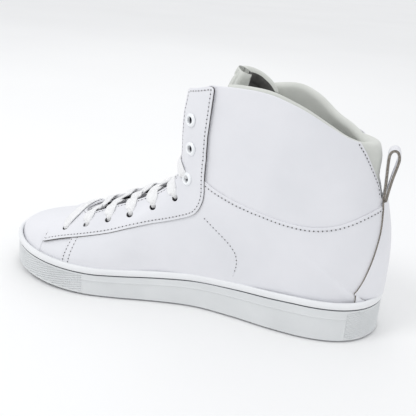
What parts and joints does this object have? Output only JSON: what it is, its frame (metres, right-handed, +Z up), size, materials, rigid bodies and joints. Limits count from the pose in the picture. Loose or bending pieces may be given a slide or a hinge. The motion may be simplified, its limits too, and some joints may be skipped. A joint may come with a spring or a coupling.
{
  "type": "basketball high top",
  "caption": "Right high-top court shoe of smooth white leather on a moulded cup sole, laced through seven rows, with padded collar, tongue and heel pull loop.",
  "frame": {"origin": "centre of the shoe's footprint box, on the ground plane", "axes": "+X towards the toe, +Y towards the inner (medial) side of this right shoe, +Z up"},
  "size_m": [0.3, 0.1067, 0.18],
  "materials": {
    "white_leather": "smooth white full-grain leather, satin, cut edges grey",
    "lining_leather": "pale grey-green soft synthetic leather, matt",
    "sole_rubber": "light grey-white moulded rubber, satin",
    "foam": "off-white closed-cell filler foam",
    "board": "non-woven fibre board",
    "textile": "light grey woven lining cloth",
    "loop_leather": "white leather loop with grey raw edges",
    "label_cloth": "blank dark woven label",
    "lace_cotton": "flat white woven cotton",
    "aglet_plastic": "clear-white shrunk plastic",
    "ring_enamel": "white enamelled metal, gloss"
  },
  "bodies": {
    "shoe": {"cupsole": "sole_rubber", "midsole_foam": "foam", "strobel_board": "board", "sockliner": "textile", "toe_puff": "board", "heel_counter": "board", "vamp_lining": "textile", "quarter_lining_left": "textile", "quarter_lining_right": "textile", "collar_pad": "lining_leather", "toe_cap": "white_leather", "vamp": "white_leather", "quarter_left": "white_leather", "quarter_right": "white_leather", "collar_panel_left": "white_leather", "collar_panel_right": "white_leather", "eyestay": "white_leather", "backstay": "white_leather", "tongue_base": "lining_leather", "lace": "lace_cotton", "lace_tail_left": "lace_cotton", "lace_tail_right": "lace_cotton", "aglet_left": "aglet_plastic", "aglet_right": "aglet_plastic", "eyelet_ring_left_1": "ring_enamel", "eyelet_ring_left_2": "ring_enamel", "eyelet_ring_left_3": "ring_enamel", "eyelet_ring_right_1": "ring_enamel", "eyelet_ring_right_2": "ring_enamel", "eyelet_ring_right_3": "ring_enamel"},
    "pull_loop": {"pull_tab": "loop_leather"},
    "tongue": {"tongue_top": "lining_leather", "tongue_label": "label_cloth"}
  },
  "joints": [
    {"name": "pull_loop_swing", "type": "hinge", "parent": "shoe", "child": "pull_loop", "pos_m": [-0.1376, -0.0022, 0.1032], "axis": [0, -1, 0], "range_deg": [0, 60], "stiffness_Nm_per_rad": 0.01},
    {"name": "tongue_tilt", "type": "hinge", "parent": "shoe", "child": "tongue", "pos_m": [-0.007, -0.0022, 0.0985], "axis": [0, 1, 0], "range_deg": [-12, 8], "stiffness_Nm_per_rad": 0.5}
  ]
}
